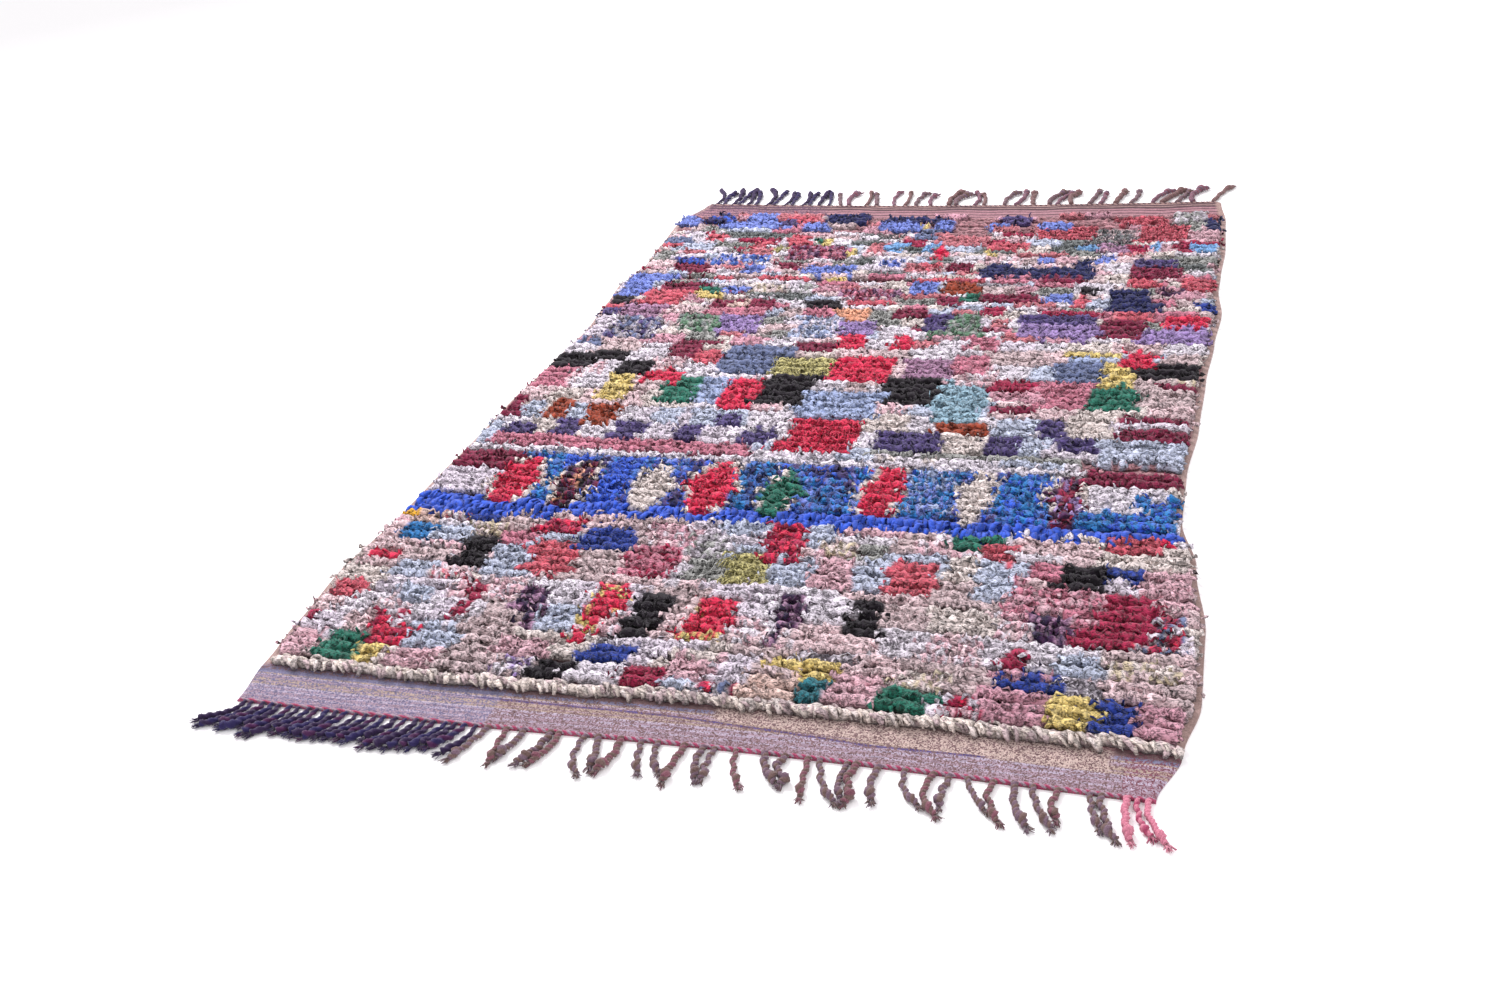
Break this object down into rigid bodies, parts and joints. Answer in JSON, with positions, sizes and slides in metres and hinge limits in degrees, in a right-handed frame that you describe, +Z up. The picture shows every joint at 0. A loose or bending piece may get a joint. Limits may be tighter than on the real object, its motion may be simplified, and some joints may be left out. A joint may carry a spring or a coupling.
{
  "type": "boucherouite rug",
  "caption": "Rectangular rag-pile rug with rows of short rag shag on a woven ground, flat-woven end bands and a knotted corded fringe at both ends.",
  "frame": {"origin": "centre of the bounding box at floor level, under the middle of the rug and its fringes", "axes": "+X across the rug, +Y along it from the front fringe to the back fringe, +Z up through the pile"},
  "size_m": [1.4544, 2.5128, 0.0293],
  "materials": {
    "rag_pile": "matte cotton and jersey rag pile in many colours",
    "aubergine_wool": "matte dark wool warp",
    "marled_wool": "matte grey and mauve plied wool warp",
    "raspberry_wool": "matte raspberry wool warp"
  },
  "bodies": {
    "root": {"rug_body": "rag_pile", "fringe_front_aubergine": "aubergine_wool", "fringe_front_marled": "marled_wool", "fringe_front_raspberry": "raspberry_wool", "fringe_back_aubergine": "aubergine_wool", "fringe_back_marled": "marled_wool"}
  },
  "joints": []
}
